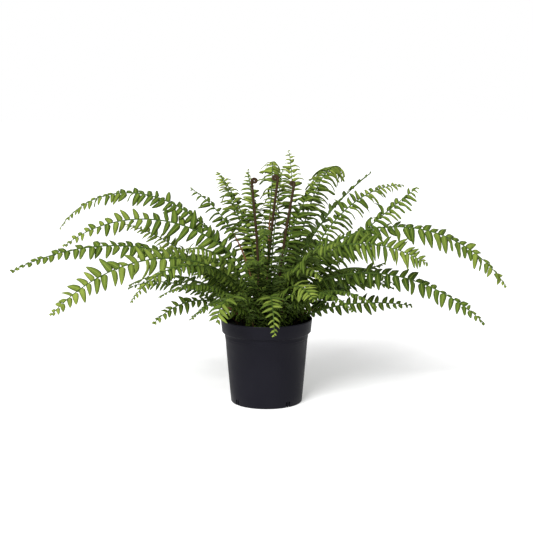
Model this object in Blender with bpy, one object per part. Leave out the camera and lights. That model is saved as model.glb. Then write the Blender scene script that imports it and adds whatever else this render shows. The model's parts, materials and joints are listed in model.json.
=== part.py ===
"""A sword fern in its nursery pot: pot, soil, 55 fronds and 3 fiddleheads.

Metres, +Z up, standing on z = 0. Run it with blender --background --python part.py, or from Blender's
text editor. The viewer of the reference photo stands at -Y: azimuth 0 points right, 90 away, 180 left
and 270 to the viewer.
"""

from collections import namedtuple
from math import cos, hypot, pi, radians, sin, sqrt
from random import Random

import bmesh
import bpy
from mathutils import Vector
from mathutils.bvhtree import BVHTree

# Pot
POT_HEIGHT = 0.139
RIM_RADIUS = 0.075
RIM_DEPTH = 0.0225
RIM_FOOT_RADIUS = 0.0728
SHOULDER_RADIUS = 0.0687
BASE_RADIUS = 0.0585
WALL = 0.0018
LINE_BELOW_RIM = 0.011
LINE_STEP = 0.0004
CORNER = 0.0014
POT_SEGMENTS = 44
SLOT_AZIMUTHS = (36.5, 126.5, 216.5, 306.5)
SLOT_WIDTH = 0.008
SLOT_HEIGHT = 0.010
SLOT_REACH = 0.006

# Soil
SOIL_Z = 0.124
SOIL_SEGMENTS = 22
SOIL_RINGS = (0.45, 0.8)
SOIL_BUMP = 0.0012
GAP = 0.0003

# Stalks
HOLE_DEPTH = 0.012
STALK_OUT = 0.0015
STALK_HALF = 0.0014
STALK_STEPS = 3
BARE_SHARE = 0.17
BARE_MOST = 0.060
CROWN_RADIUS = 0.012
CROWN_SPREAD = 0.0009
CROWN_MOST = 0.048
CROWN_EDGE = 0.054
STALK_SPACING = 0.009

# Blades
RIB_HALF_WIDTH = (0.0013, 0.0007)
RIB_HALF_THICKNESS = (0.0010, 0.0005)
LEAFLET_HALF_THICKNESS = 0.0004
LEAFLET_PITCH = 0.0203
LEAFLET_CROWDING = 1.15
LEAFLET_DROOP = 16
DROOP_VARIES = 7
LEAFLET_FORWARD = (8, 34)
LEAFLET_SHOULDER = (0.20, 0.55)
LEAFLET_TIP = 0.70
LEAFLET_ARCH = 0.03
SHOULDERED_SHARE = 0.55
CLEARANCE = 0.0006
SEED = 9

# Leaflet lengths, as shares of the frond's longest: at the blade's foot, how fast they grow from there,
# how bluntly they taper to the tip, and how they vary. No leaflet is shorter than the last value.
FOOT_LENGTH = 0.62
FOOT_GROWTH = 2.2
TAPER_END = 0.72
LENGTH_VARIES = (0.92, 1.06)
LEAST_LENGTH = 0.005

# Folds in degrees and lengths to try, in this order, for a leaflet that would meet another piece
LEAFLET_TRIES = (
    (0, 1.0), (12, 1.0), (-12, 1.0), (24, 1.0), (-24, 1.0), (12, 0.8), (-12, 0.8), (36, 0.8), (-36, 0.8),
    (0, 0.6), (24, 0.6), (-24, 0.6), (45, 0.6), (-45, 0.6), (0, 0.4), (40, 0.4), (-40, 0.4), (0, 0.25),
)

Frond = namedtuple("Frond", "azimuth length rise fall bend sweep lean leaflet full")
# azimuth of the rib, its length, its angle above level at the foot and at the tip, how late it bends
# (1 is an even arc), how far it turns sideways by the tip, how far its upper face leans to the viewer,
# the length of its longest leaflets, and how far they keep that length towards the tip
FRONDS = tuple(Frond(*row) for row in (
    (178, 0.464, 81, -56, 1.43, -15, 28, 0.028, 2.4),
    (184, 0.431, 87, -38, 0.94, -6, 38, 0.029, 2.4),
    (186, 0.452, 88, -24, 0.55, 15, 32, 0.028, 2.4),
    (208, 0.432, 87, -46, 0.70, -9, 60, 0.029, 2.4),
    (156, 0.281, 58, 9, 1.10, 0, 30, 0.025, 2.4),
    (160, 0.222, 46, -26, 1.20, 0, 25, 0.023, 2.4),
    (214, 0.300, 82, -52, 1.05, 0, 20, 0.028, 2.4),
    (204, 0.190, 70, -45, 0.85, 0, 42, 0.022, 2.4),
    (239, 0.162, 66, -84, 1.90, 0, 0, 0.027, 2.4),
    (170, 0.261, 88, 32, 1.35, 0, -8, 0.018, 2.4),
    (120, 0.301, 87, 22, 1.20, 0, 0, 0.026, 2.4),
    (102, 0.275, 74, 53, 0.90, 0, 0, 0.024, 2.4),
    (79, 0.333, 89, -2, 2.00, 14, 0, 0.028, 7),
    (61.5, 0.309, 76, 56, 0.60, 46, 0, 0.025, 2.4),
    (54, 0.372, 66, -52, 4.00, 12, 20, 0.028, 6),
    (356, 0.300, 84, 38, 0.95, 0, -12, 0.017, 2.4),
    (26, 0.341, 69, -4, 1.90, 0, 35, 0.026, 4),
    (2.5, 0.314, 76, 38, 0.32, -7, 35, 0.029, 7),
    (359, 0.491, 85, -56, 0.90, -4, 44, 0.029, 2.4),
    (330, 0.347, 88, -33, 0.90, 25, 25, 0.025, 2.4),
    (345, 0.399, 87, -44, 0.58, 12, 42, 0.028, 2.4),
    (2, 0.208, 59, -9, 0.38, -2, 38, 0.022, 2.4),
    (16, 0.194, 40, -22, 1.95, 0, 15, 0.023, 2.4),
    (24, 0.195, 38, 14, 1.40, 0, 10, 0.020, 2.4),
    (274, 0.184, 84, -88, 1.20, 4, 0, 0.018, 3),
    (302, 0.170, 86, -40, 1.20, 0, 0, 0.026, 2.4),
    (312, 0.192, 86, -46, 1.70, 0, 0, 0.026, 2.4),
    (266, 0.300, 88, -80, 2.20, 0, 0, 0.026, 2.4),
    (96, 0.380, 60, -40, 0.90, 0, 0, 0.028, 2.4),
    (72, 0.370, 66, -36, 0.90, 0, 0, 0.028, 2.4),
    (122, 0.345, 62, -38, 0.85, 0, 0, 0.028, 2.4),
    (48, 0.320, 54, -32, 0.80, 0, 0, 0.027, 2.4),
    (142, 0.285, 52, -28, 0.80, 0, 0, 0.026, 2.4),
    (84, 0.290, 42, -25, 0.80, 0, 0, 0.025, 2.4),
    (110, 0.275, 40, -26, 0.80, 0, 0, 0.025, 2.4),
    (60, 0.265, 40, -28, 0.80, 0, 0, 0.025, 2.4),
    (215, 0.212, 76, -25, 0.90, 0, 10, 0.025, 2.4),
    (254, 0.165, 80, 8, 1.00, 0, 0, 0.025, 2.4),
    (280, 0.200, 80, 24, 1.00, 0, 0, 0.026, 2.4),
    (310, 0.205, 74, -30, 0.90, 0, 0, 0.025, 2.4),
    (326, 0.205, 72, -30, 0.90, 0, 8, 0.025, 2.4),
    (353, 0.212, 74, -25, 0.90, 0, 12, 0.025, 2.4),
    (193, 0.182, 70, 22, 1.00, 0, 12, 0.025, 2.4),
    (226, 0.168, 74, -36, 0.90, 0, 5, 0.024, 2.4),
    (110, 0.260, 86, 58, 1.00, 0, 0, 0.023, 2.4),
    (316, 0.215, 84, 10, 1.20, 0, 0, 0.024, 2.4),
    (128, 0.265, 86, 45, 1.10, 0, 0, 0.026, 2.4),
    (160, 0.203, 80, 38, 1.20, 0, 10, 0.025, 2.4),
    (50, 0.270, 85, 40, 1.10, 0, 0, 0.026, 2.4),
    (76, 0.270, 87, 50, 1.10, 0, 0, 0.026, 2.4),
    (8, 0.225, 78, 5, 1.10, 0, 15, 0.025, 2.4),
    (248, 0.115, 74, 16, 0.90, 0, 0, 0.022, 2.4),
    (293, 0.115, 74, 16, 0.90, 0, 0, 0.022, 2.4),
    (259, 0.225, 86, -20, 1.30, 0, 0, 0.026, 2.4),
    (222, 0.235, 84, -5, 1.20, 0, 8, 0.026, 2.4),
))

Fiddlehead = namedtuple("Fiddlehead", "foot top coil side")
# where the stalk leaves the soil, where it ends under the coil, the coil's radius, and which side it rolls to
FIDDLEHEADS = tuple(Fiddlehead(*row) for row in (
    ((-0.009, -0.006), (-0.0239, -0.005, 0.3642), 0.0047, 1),
    ((0.001, -0.003), (0.0185, -0.003, 0.3685), 0.0049, -1),
    ((0.011, -0.006), (0.0449, -0.005, 0.3597), 0.0039, -1),
))
FIDDLE_RADIUS = 0.0019
FIDDLE_SIDES = 6
FIDDLE_STEPS = 6
COIL_STEPS = 16
COIL_TURNS = 1.25
COIL_INNER = 0.0012
COIL_TUBE = (0.30, 0.19)
FIDDLE_BOW = 0.004


def clear_scene():
    for obj in list(bpy.data.objects):
        bpy.data.objects.remove(obj, do_unlink=True)


def material(name, colour, roughness):
    made = bpy.data.materials.new(name)
    made.use_nodes = True
    principled = made.node_tree.nodes["Principled BSDF"]
    principled.inputs["Base Color"].default_value = (*colour, 1)
    principled.inputs["Roughness"].default_value = roughness
    made.diffuse_color = (*colour, 1)
    return made


def add_object(name, mesh, finish):
    obj = bpy.data.objects.new(name, mesh)
    bpy.context.scene.collection.objects.link(obj)
    mesh.materials.append(finish)
    return obj


def mesh_from(name, bm):
    bmesh.ops.recalc_face_normals(bm, faces=bm.faces)
    mesh = bpy.data.meshes.new(name)
    bm.to_mesh(mesh)
    bm.free()
    return mesh


def turned(profile, segments):
    """A closed body turned about Z from a profile of (radius, height) that starts and ends on the axis."""
    bm = bmesh.new()
    verts = [bm.verts.new((radius, 0, height)) for radius, height in profile]
    edges = [bm.edges.new(pair) for pair in zip(verts, verts[1:])]
    bmesh.ops.spin(bm, geom=verts + edges, cent=(0, 0, 0), axis=(0, 0, 1), angle=2 * pi, steps=segments,
                   use_merge=True)
    bmesh.ops.remove_doubles(bm, verts=bm.verts, dist=1e-6)
    return bm


def cut(obj, cutter):
    cutter.hide_render = True
    cutter.display_type = "WIRE"
    modifier = obj.modifiers.new("cut", "BOOLEAN")
    modifier.operation = "DIFFERENCE"
    modifier.object = cutter


def inner_radius(z):
    """Radius of the pot's inner wall at a height below the rim band."""
    slope = (SHOULDER_RADIUS - BASE_RADIUS) / (POT_HEIGHT - RIM_DEPTH)
    return BASE_RADIUS + slope * z - WALL


def make_pot(finish):
    rim_foot = POT_HEIGHT - RIM_DEPTH
    line = rim_foot - LINE_BELOW_RIM
    profile = (
        (0, 0),
        (BASE_RADIUS - CORNER, 0),
        (BASE_RADIUS, CORNER),
        (inner_radius(line) + WALL - LINE_STEP, line),
        (inner_radius(line) + WALL, line + 2 * LINE_STEP),
        (SHOULDER_RADIUS, rim_foot - CORNER),
        (RIM_FOOT_RADIUS, rim_foot + CORNER),
        (RIM_RADIUS, POT_HEIGHT - WALL / 2),
        (RIM_RADIUS - WALL / 2, POT_HEIGHT),
        (RIM_RADIUS - WALL, POT_HEIGHT - WALL / 2),
        (RIM_FOOT_RADIUS - WALL, rim_foot + CORNER),
        (inner_radius(rim_foot), rim_foot - CORNER),
        (inner_radius(WALL), WALL),
        (0, WALL),
    )
    mesh = mesh_from("pot", turned(profile, POT_SEGMENTS))
    mesh.shade_smooth()
    mesh.set_sharp_from_angle(angle=radians(30))
    pot = add_object("pot", mesh, finish)
    bm = bmesh.new()
    for azimuth in SLOT_AZIMUTHS:
        box = bmesh.ops.create_cube(bm, size=1)["verts"]
        bmesh.ops.scale(bm, vec=(2 * SLOT_REACH, SLOT_WIDTH, 2 * SLOT_HEIGHT), verts=box)
        bmesh.ops.translate(bm, vec=(BASE_RADIUS, 0, 0), verts=box)
        turn_about_z(bm, box, azimuth)
    cut(pot, add_object("pot_slot_cutter", mesh_from("pot_slot_cutter", bm), finish))


def turn_about_z(bm, verts, azimuth):
    c, s = cos(radians(azimuth)), sin(radians(azimuth))
    for vert in verts:
        x, y, z = vert.co
        vert.co = (c * x - s * y, s * x + c * y, z)


def make_soil(finish, holes):
    """The filled inside of the pot, slightly uneven on top, with a plain hole for each stalk.

    holes lists (x, y, corner radius, number of sides, turn in degrees)."""
    rng = Random(SEED)
    floor = WALL + GAP
    rim_foot = POT_HEIGHT - RIM_DEPTH
    edge = RIM_FOOT_RADIUS - WALL - GAP
    profile = [
        (0, floor),
        (inner_radius(floor) - GAP, floor),
        (inner_radius(rim_foot) - GAP, rim_foot - CORNER),
        (edge, rim_foot + CORNER),
        (edge, SOIL_Z),
        *((edge * share, SOIL_Z) for share in reversed(SOIL_RINGS)),
        (0, SOIL_Z),
    ]
    bm = turned(profile, SOIL_SEGMENTS)
    for vert in bm.verts:
        if vert.co.z > SOIL_Z - 1e-6 and hypot(vert.co.x, vert.co.y) < 0.9 * edge:
            vert.co.z += rng.uniform(-SOIL_BUMP, SOIL_BUMP)
    soil = add_object("soil", mesh_from("soil", bm), finish)
    bm = bmesh.new()
    height = HOLE_DEPTH + GAP + 0.01
    for x, y, radius, sides, turn in holes:
        hole = bmesh.ops.create_cone(bm, cap_ends=True, segments=sides, radius1=radius, radius2=radius,
                                     depth=height)["verts"]
        turn_about_z(bm, hole, turn)
        bmesh.ops.translate(bm, vec=(x, y, SOIL_Z - HOLE_DEPTH - GAP + height / 2), verts=hole)
    cut(soil, add_object("soil_hole_cutter", mesh_from("soil_hole_cutter", bm), finish))


def crown_points():
    """Where each stalk leaves the soil: out along its azimuth, the flatter the further, then nudged apart."""
    points = []
    for frond in FRONDS:
        radius = min(CROWN_RADIUS + CROWN_SPREAD * (90 - frond.rise), CROWN_MOST)
        points.append([radius * cos(radians(frond.azimuth)), radius * sin(radians(frond.azimuth))])
    points += [list(fiddle.foot) for fiddle in FIDDLEHEADS]
    moved = True
    while moved:
        moved = False
        for i, p in enumerate(points):
            for q in points[:i]:
                apart = hypot(p[0] - q[0], p[1] - q[1])
                if apart < STALK_SPACING - 1e-5:
                    push = (STALK_SPACING - apart) / 2 / apart
                    dx, dy = push * (p[0] - q[0]), push * (p[1] - q[1])
                    p[:] = p[0] + dx, p[1] + dy
                    q[:] = q[0] - dx, q[1] - dy
                    moved = True
        for p in points:
            shrink = min(1, CROWN_EDGE / hypot(*p))
            p[:] = p[0] * shrink, p[1] * shrink
    return points


def rib_point_list(frond, foot, steps=60):
    """Points along a frond from the soil's surface to its tip."""
    point = Vector((*foot, SOIL_Z))
    points = [point.copy()]
    for step in range(steps):
        share = (step + 0.5) / steps
        lift = radians(frond.rise + (frond.fall - frond.rise) * share ** frond.bend)
        turn = radians(frond.azimuth + frond.sweep * share * share)
        point += frond.length / steps * Vector((cos(lift) * cos(turn), cos(lift) * sin(turn), sin(lift)))
        points.append(point.copy())
    return points


def at_share(points, share):
    place = share * (len(points) - 1)
    low = min(int(place), len(points) - 2)
    return points[low].lerp(points[low + 1], place - low)


Station = namedtuple("Station", "point side up half_width half_thickness")


def frond_stations(frond, foot):
    """Cross-sections from the stalk's buried end to the tip, and the index of the blade's first one."""
    points = rib_point_list(frond, foot)
    bare = min(BARE_SHARE, BARE_MOST / frond.length)
    start = STALK_OUT / frond.length
    shares = [start + (bare - start) * step / STALK_STEPS for step in range(1, STALK_STEPS + 1)]
    pairs = round((1 - bare) * frond.length / LEAFLET_PITCH)
    shares += [
        bare + (1 - bare) * (1 - (1 - pair / pairs) ** LEAFLET_CROWDING) for pair in range(1, pairs + 1)
    ]
    across = radians(frond.azimuth)
    level_side = Vector((sin(across), -cos(across), 0))
    inward = Vector((-cos(across), -sin(across), 0))
    stations = [
        Station(Vector((*foot, z)), level_side, inward, STALK_HALF, STALK_HALF)
        for z in (SOIL_Z - HOLE_DEPTH, SOIL_Z + STALK_OUT)
    ]
    lean = radians(frond.lean) * (1 if cos(across) > 0 else -1)
    for share in shares:
        along = (at_share(points, min(1, share + 0.01)) - at_share(points, share - 0.01)).normalized()
        side = along.cross(Vector((0, 0, 1)))
        side = side.normalized() if side.length > 0.02 else level_side.copy()
        if side.dot(level_side) < 0:
            side.negate()
        turned_by = lean * min(1, share / bare)
        up = side.cross(along)
        leaf = max(0, (share - bare) / (1 - bare))
        stations.append(Station(
            at_share(points, share),
            side * cos(turned_by) - up * sin(turned_by), up * cos(turned_by) + side * sin(turned_by),
            RIB_HALF_WIDTH[0] + (RIB_HALF_WIDTH[1] - RIB_HALF_WIDTH[0]) * leaf,
            RIB_HALF_THICKNESS[0] + (RIB_HALF_THICKNESS[1] - RIB_HALF_THICKNESS[0]) * leaf,
        ))
    return stations, 1 + STALK_STEPS


def rib_corners(station):
    """Corners of a cross-section: (left, right) upper, then (left, right) lower."""
    wide, thick = station.side * station.half_width, station.up * station.half_thickness
    return ((station.point - wide + thick, station.point + wide + thick),
            (station.point - wide - thick, station.point + wide - thick))


def leaflet_outline(near, far, side, share, length, fold, shouldered):
    """The leaflet's points beyond the rib, and its upward normal. It grows between two cross-sections."""
    along = (far.point - near.point).normalized()
    pitch = (far.point - near.point).length
    forward = radians(LEAFLET_FORWARD[0] + (LEAFLET_FORWARD[1] - LEAFLET_FORWARD[0]) * share)
    down = radians(LEAFLET_DROOP + fold)
    out = side * near.side * cos(down) - near.up * sin(down)
    reach = out * cos(forward) + along * sin(forward)
    root = near.point + side * near.side * near.half_width
    tip = root + along * LEAFLET_TIP * pitch + reach * length
    shoulder = root + along * LEAFLET_SHOULDER[0] * pitch + reach * length * LEAFLET_SHOULDER[1]
    shoulder += near.up * LEAFLET_ARCH * length
    normal = reach.cross(along) if side < 0 else along.cross(reach)
    if normal.dot(near.up) < 0:
        normal.negate()
    return ([shoulder, tip] if shouldered else [tip]), normal.normalized()


def slab(points, normal, half):
    """A closed thin solid over a fan of points, for the tests of what a leaflet would meet."""
    verts = [p + normal * half for p in points] + [p - normal * half for p in points]
    count = len(points)
    faces = [(0, i, i + 1) for i in range(1, count - 1)]
    faces += [(count, count + i + 1, count + i) for i in range(1, count - 1)]
    for i in range(count):
        j = (i + 1) % count
        faces += [(i, i + count, j), (j, i + count, j + count)]
    return verts, faces


class Obstacle:
    """The surface of one piece, with its bounding box."""

    def __init__(self, verts, faces):
        self.low = [min(v[axis] for v in verts) for axis in range(3)]
        self.high = [max(v[axis] for v in verts) for axis in range(3)]
        self.tree = BVHTree.FromPolygons(verts, faces)

    def meets(self, other):
        if any(self.low[a] > other.high[a] or self.high[a] < other.low[a] for a in range(3)):
            return False
        return bool(self.tree.overlap(other.tree))


def rib_obstacle(stations):
    verts, faces = [], []
    for station in stations[1:]:
        wide = station.side * (station.half_width + CLEARANCE)
        thick = station.up * (station.half_thickness + CLEARANCE)
        verts += [station.point + i * wide + j * thick for i, j in ((-1, 1), (1, 1), (1, -1), (-1, -1))]
    for row in range(len(stations) - 2):
        for i in range(4):
            a, b = 4 * row + i, 4 * row + (i + 1) % 4
            faces += [(a, b, b + 4), (a, b + 4, a + 4)]
    return Obstacle(verts, faces)


def leaflet_length(frond, share):
    taper = (1 - share ** frond.full) ** TAPER_END
    return max(LEAST_LENGTH, frond.leaflet * min(1, FOOT_LENGTH + FOOT_GROWTH * share) * taper)


def make_frond(name, frond, stations, first, obstacles, rng, finish):
    """One closed thin blade: a square stalk, then a rib with leaflets cut to it, clear of other pieces."""
    bm = bmesh.new()

    def pair_of_verts(upper, lower):
        return bm.verts.new(upper), bm.verts.new(lower)

    def faces_over(outline):
        """Triangles alike on the upper and the lower face of a fan of vertex pairs."""
        for second, third in zip(outline[1:], outline[2:]):
            for layer in (0, 1):
                bm.faces.new((outline[0][layer], second[layer], third[layer]))

    def wall(first_pair, second_pair):
        bm.faces.new((first_pair[0], second_pair[0], second_pair[1]))
        bm.faces.new((first_pair[0], second_pair[1], first_pair[1]))

    edges = []
    for station in stations:
        upper, lower = rib_corners(station)
        edges.append([pair_of_verts(upper[i], lower[i]) for i in (0, 1)])
    wall(*edges[0])
    wall(*edges[-1])
    leaflets = []
    last = len(stations) - 1
    for row in range(last):
        (left, right), (next_left, next_right) = edges[row], edges[row + 1]
        faces_over((left, right, next_right, next_left))
        for side, near_edge, far_edge in ((-1, left, next_left), (1, right, next_right)):
            grown = None
            if row >= first:
                share = (row - first + 0.5) / (last - first)
                length = leaflet_length(frond, share) * rng.uniform(*LENGTH_VARIES)
                droop = rng.uniform(-DROOP_VARIES, DROOP_VARIES)
                for fold, scale in LEAFLET_TRIES:
                    points, normal = leaflet_outline(stations[row], stations[row + 1], side, share,
                                                     length * scale, droop + fold, share < SHOULDERED_SHARE)
                    root = [sum((vert.co for vert in edge), Vector()) / 2 for edge in (near_edge, far_edge)]
                    probe = Obstacle(*slab([root[0], *points, root[1]], normal,
                                           LEAFLET_HALF_THICKNESS + CLEARANCE))
                    if not any(probe.meets(other) for other in obstacles):
                        grown = points
                        leaflets.append(([root[0], *points, root[1]], normal))
                        break
            if grown is None:
                wall(near_edge, far_edge)
                continue
            half = normal * LEAFLET_HALF_THICKNESS
            outline = [near_edge, *(pair_of_verts(point + half, point - half) for point in grown), far_edge]
            faces_over(outline)
            for pair in zip(outline, outline[1:]):
                wall(*pair)
    add_object(name, mesh_from(name, bm), finish)
    return leaflets


def leaflet_obstacle(leaflets):
    verts, faces = [], []
    for points, normal in leaflets:
        more_verts, more_faces = slab(points, normal, LEAFLET_HALF_THICKNESS)
        faces += [tuple(i + len(verts) for i in face) for face in more_faces]
        verts += more_verts
    return Obstacle(verts, faces)


def fiddlehead_path(fiddle):
    """Centre line and radius of a fiddlehead: a slightly bowed stalk, then a coil that closes inwards."""
    foot, top = Vector((*fiddle.foot, SOIL_Z)), Vector(fiddle.top)
    path = [(Vector((*fiddle.foot, SOIL_Z - HOLE_DEPTH)), FIDDLE_RADIUS),
            (Vector((*fiddle.foot, SOIL_Z + STALK_OUT)), FIDDLE_RADIUS)]
    for step in range(1, FIDDLE_STEPS + 1):
        share = step / (FIDDLE_STEPS + 1)
        bow = Vector((fiddle.side * FIDDLE_BOW * sin(pi * share), 0, 0))
        path.append((foot.lerp(top, share) + bow, FIDDLE_RADIUS))
    centre = top + Vector((fiddle.side * fiddle.coil, 0, 0))
    for step in range(COIL_STEPS + 1):
        share = step / COIL_STEPS
        angle = pi - 2 * pi * COIL_TURNS * share
        radius = fiddle.coil + (COIL_INNER - fiddle.coil) * share
        offset = Vector((fiddle.side * radius * cos(angle), 0, radius * sin(angle)))
        tube = fiddle.coil * (COIL_TUBE[0] + (COIL_TUBE[1] - COIL_TUBE[0]) * share)
        path.append((centre + offset, tube))
    return path


def make_fiddlehead(name, fiddle, finish):
    path = fiddlehead_path(fiddle)
    bm = bmesh.new()
    rings = []
    for i, (point, radius) in enumerate(path):
        before, after = path[max(0, i - 1)][0], path[min(len(path) - 1, i + 1)][0]
        along = (after - before).normalized() if i > 1 else Vector((0, 0, 1))
        across = Vector((0, 1, 0))
        up = along.cross(across).normalized()
        angles = [2 * pi * k / FIDDLE_SIDES for k in range(FIDDLE_SIDES)]
        rings.append([bm.verts.new(point + radius * (cos(a) * up + sin(a) * across)) for a in angles])
    for low, high in zip(rings, rings[1:]):
        for k in range(FIDDLE_SIDES):
            bm.faces.new((low[k], low[(k + 1) % FIDDLE_SIDES], high[(k + 1) % FIDDLE_SIDES], high[k]))
    bm.faces.new(rings[0])
    bm.faces.new(rings[-1])
    verts = [vert.co.copy() for ring in rings for vert in ring]
    bmesh.ops.triangulate(bm, faces=bm.faces)
    bm.verts.index_update()
    faces = [tuple(vert.index for vert in face.verts) for face in bm.faces]
    mesh = mesh_from(name, bm)
    mesh.shade_smooth()
    mesh.set_sharp_from_angle(angle=radians(65))
    add_object(name, mesh, finish)
    return Obstacle(verts, faces)


def pot_obstacle():
    """The pot's rim and the soil, as a leaflet would meet them."""
    soil_top = SOIL_Z + 3 * SOIL_BUMP
    rings = (
        (0.001, soil_top),
        (RIM_FOOT_RADIUS - WALL, soil_top),
        (RIM_RADIUS - WALL - CLEARANCE, POT_HEIGHT + CLEARANCE),
        (RIM_RADIUS + CLEARANCE, POT_HEIGHT + CLEARANCE),
        (RIM_RADIUS + CLEARANCE, POT_HEIGHT - RIM_DEPTH),
        (BASE_RADIUS, 0),
    )
    verts, faces = [], []
    for radius, height in rings:
        angles = [2 * pi * k / POT_SEGMENTS for k in range(POT_SEGMENTS)]
        verts += [Vector((radius * cos(a), radius * sin(a), height)) for a in angles]
    for row in range(len(rings) - 1):
        for k in range(POT_SEGMENTS):
            a, b = row * POT_SEGMENTS + k, row * POT_SEGMENTS + (k + 1) % POT_SEGMENTS
            faces.append((a, b, b + POT_SEGMENTS, a + POT_SEGMENTS))
    return Obstacle(verts, faces)


def main():
    clear_scene()
    plastic = material("charcoal plastic", (0.030, 0.031, 0.037), 0.48)
    soil = material("dark potting soil", (0.018, 0.012, 0.008), 0.95)
    green = material("fern green", (0.10, 0.22, 0.035), 0.5)
    brown = material("fiddlehead brown", (0.060, 0.026, 0.016), 0.8)

    feet = crown_points()
    frond_feet, fiddle_feet = feet[: len(FRONDS)], feet[len(FRONDS):]
    fiddles = [fiddle._replace(foot=tuple(foot)) for fiddle, foot in zip(FIDDLEHEADS, fiddle_feet)]
    square = sqrt(2) * (STALK_HALF + GAP)
    holes = [(*foot, square, 4, frond.azimuth + 45) for foot, frond in zip(frond_feet, FRONDS)]
    holes += [(*fiddle.foot, FIDDLE_RADIUS + 1.2 * GAP, FIDDLE_SIDES, 0) for fiddle in fiddles]
    make_pot(plastic)
    make_soil(soil, holes)

    fixed = [pot_obstacle()]
    for number, fiddle in enumerate(fiddles, 1):
        fixed.append(make_fiddlehead(f"fiddlehead_{number}", fiddle, brown))
    rng = Random(SEED)
    shapes = [frond_stations(frond, foot) for frond, foot in zip(FRONDS, frond_feet)]
    ribs = [rib_obstacle(stations) for stations, _ in shapes]
    placed = []
    for number, (frond, (stations, first)) in enumerate(zip(FRONDS, shapes), 1):
        others = fixed + placed + ribs[: number - 1] + ribs[number:]
        leaflets = make_frond(f"frond_{number:02}", frond, stations, first, others, rng, green)
        placed.append(leaflet_obstacle(leaflets))


main()
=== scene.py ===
"""Potted fern: a Boston fern with arching fronds and three fiddleheads, in a round charcoal nursery pot.

Run as a script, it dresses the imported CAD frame. Each operator builds one group of pieces in metres, in the
frame's own coordinates, and the pieces stand for the CAD nodes that they replace.
"""

import json
from collections import namedtuple
from functools import partial
from math import cos, hypot, pi, radians, sin
from random import Random
from types import SimpleNamespace

import bmesh
import bpy
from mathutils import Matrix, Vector

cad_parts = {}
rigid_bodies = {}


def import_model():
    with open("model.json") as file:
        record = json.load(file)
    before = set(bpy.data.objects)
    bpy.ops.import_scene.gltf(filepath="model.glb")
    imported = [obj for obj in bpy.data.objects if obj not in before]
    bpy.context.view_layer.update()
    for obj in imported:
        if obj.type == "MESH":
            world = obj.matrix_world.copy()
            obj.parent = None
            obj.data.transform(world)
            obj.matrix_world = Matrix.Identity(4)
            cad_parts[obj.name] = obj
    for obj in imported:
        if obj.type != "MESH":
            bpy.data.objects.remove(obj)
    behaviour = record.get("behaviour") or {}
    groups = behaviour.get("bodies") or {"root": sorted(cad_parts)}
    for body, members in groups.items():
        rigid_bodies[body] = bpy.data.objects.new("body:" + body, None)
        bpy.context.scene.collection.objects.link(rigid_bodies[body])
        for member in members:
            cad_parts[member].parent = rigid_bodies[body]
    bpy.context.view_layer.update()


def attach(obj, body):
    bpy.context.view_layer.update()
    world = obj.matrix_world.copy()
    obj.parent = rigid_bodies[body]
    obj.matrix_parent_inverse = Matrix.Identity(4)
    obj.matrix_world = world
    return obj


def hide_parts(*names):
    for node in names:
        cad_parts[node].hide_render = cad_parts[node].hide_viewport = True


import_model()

bl_info = {
    "name": "Potted Fern",
    "version": (1, 0, 0),
    "blender": (4, 5, 0),
    "location": "3D View > Sidebar > Fern",
    "description": "Builds a Boston fern in a round nursery pot, with its leaflets, fiddleheads and soil",
    "category": "Add Mesh",
}

# Where the stalks stand, as in the CAD source
SOIL_Z = 0.124
CROWN_RADIUS = 0.012
CROWN_SPREAD = 0.0009
CROWN_MOST = 0.048
CROWN_EDGE = 0.054
STALK_SPACING = 0.009
BURIED = 0.004

Frond = namedtuple("Frond", "azimuth length rise fall bend sweep lean leaflet pitch full tone brown habit")
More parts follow.
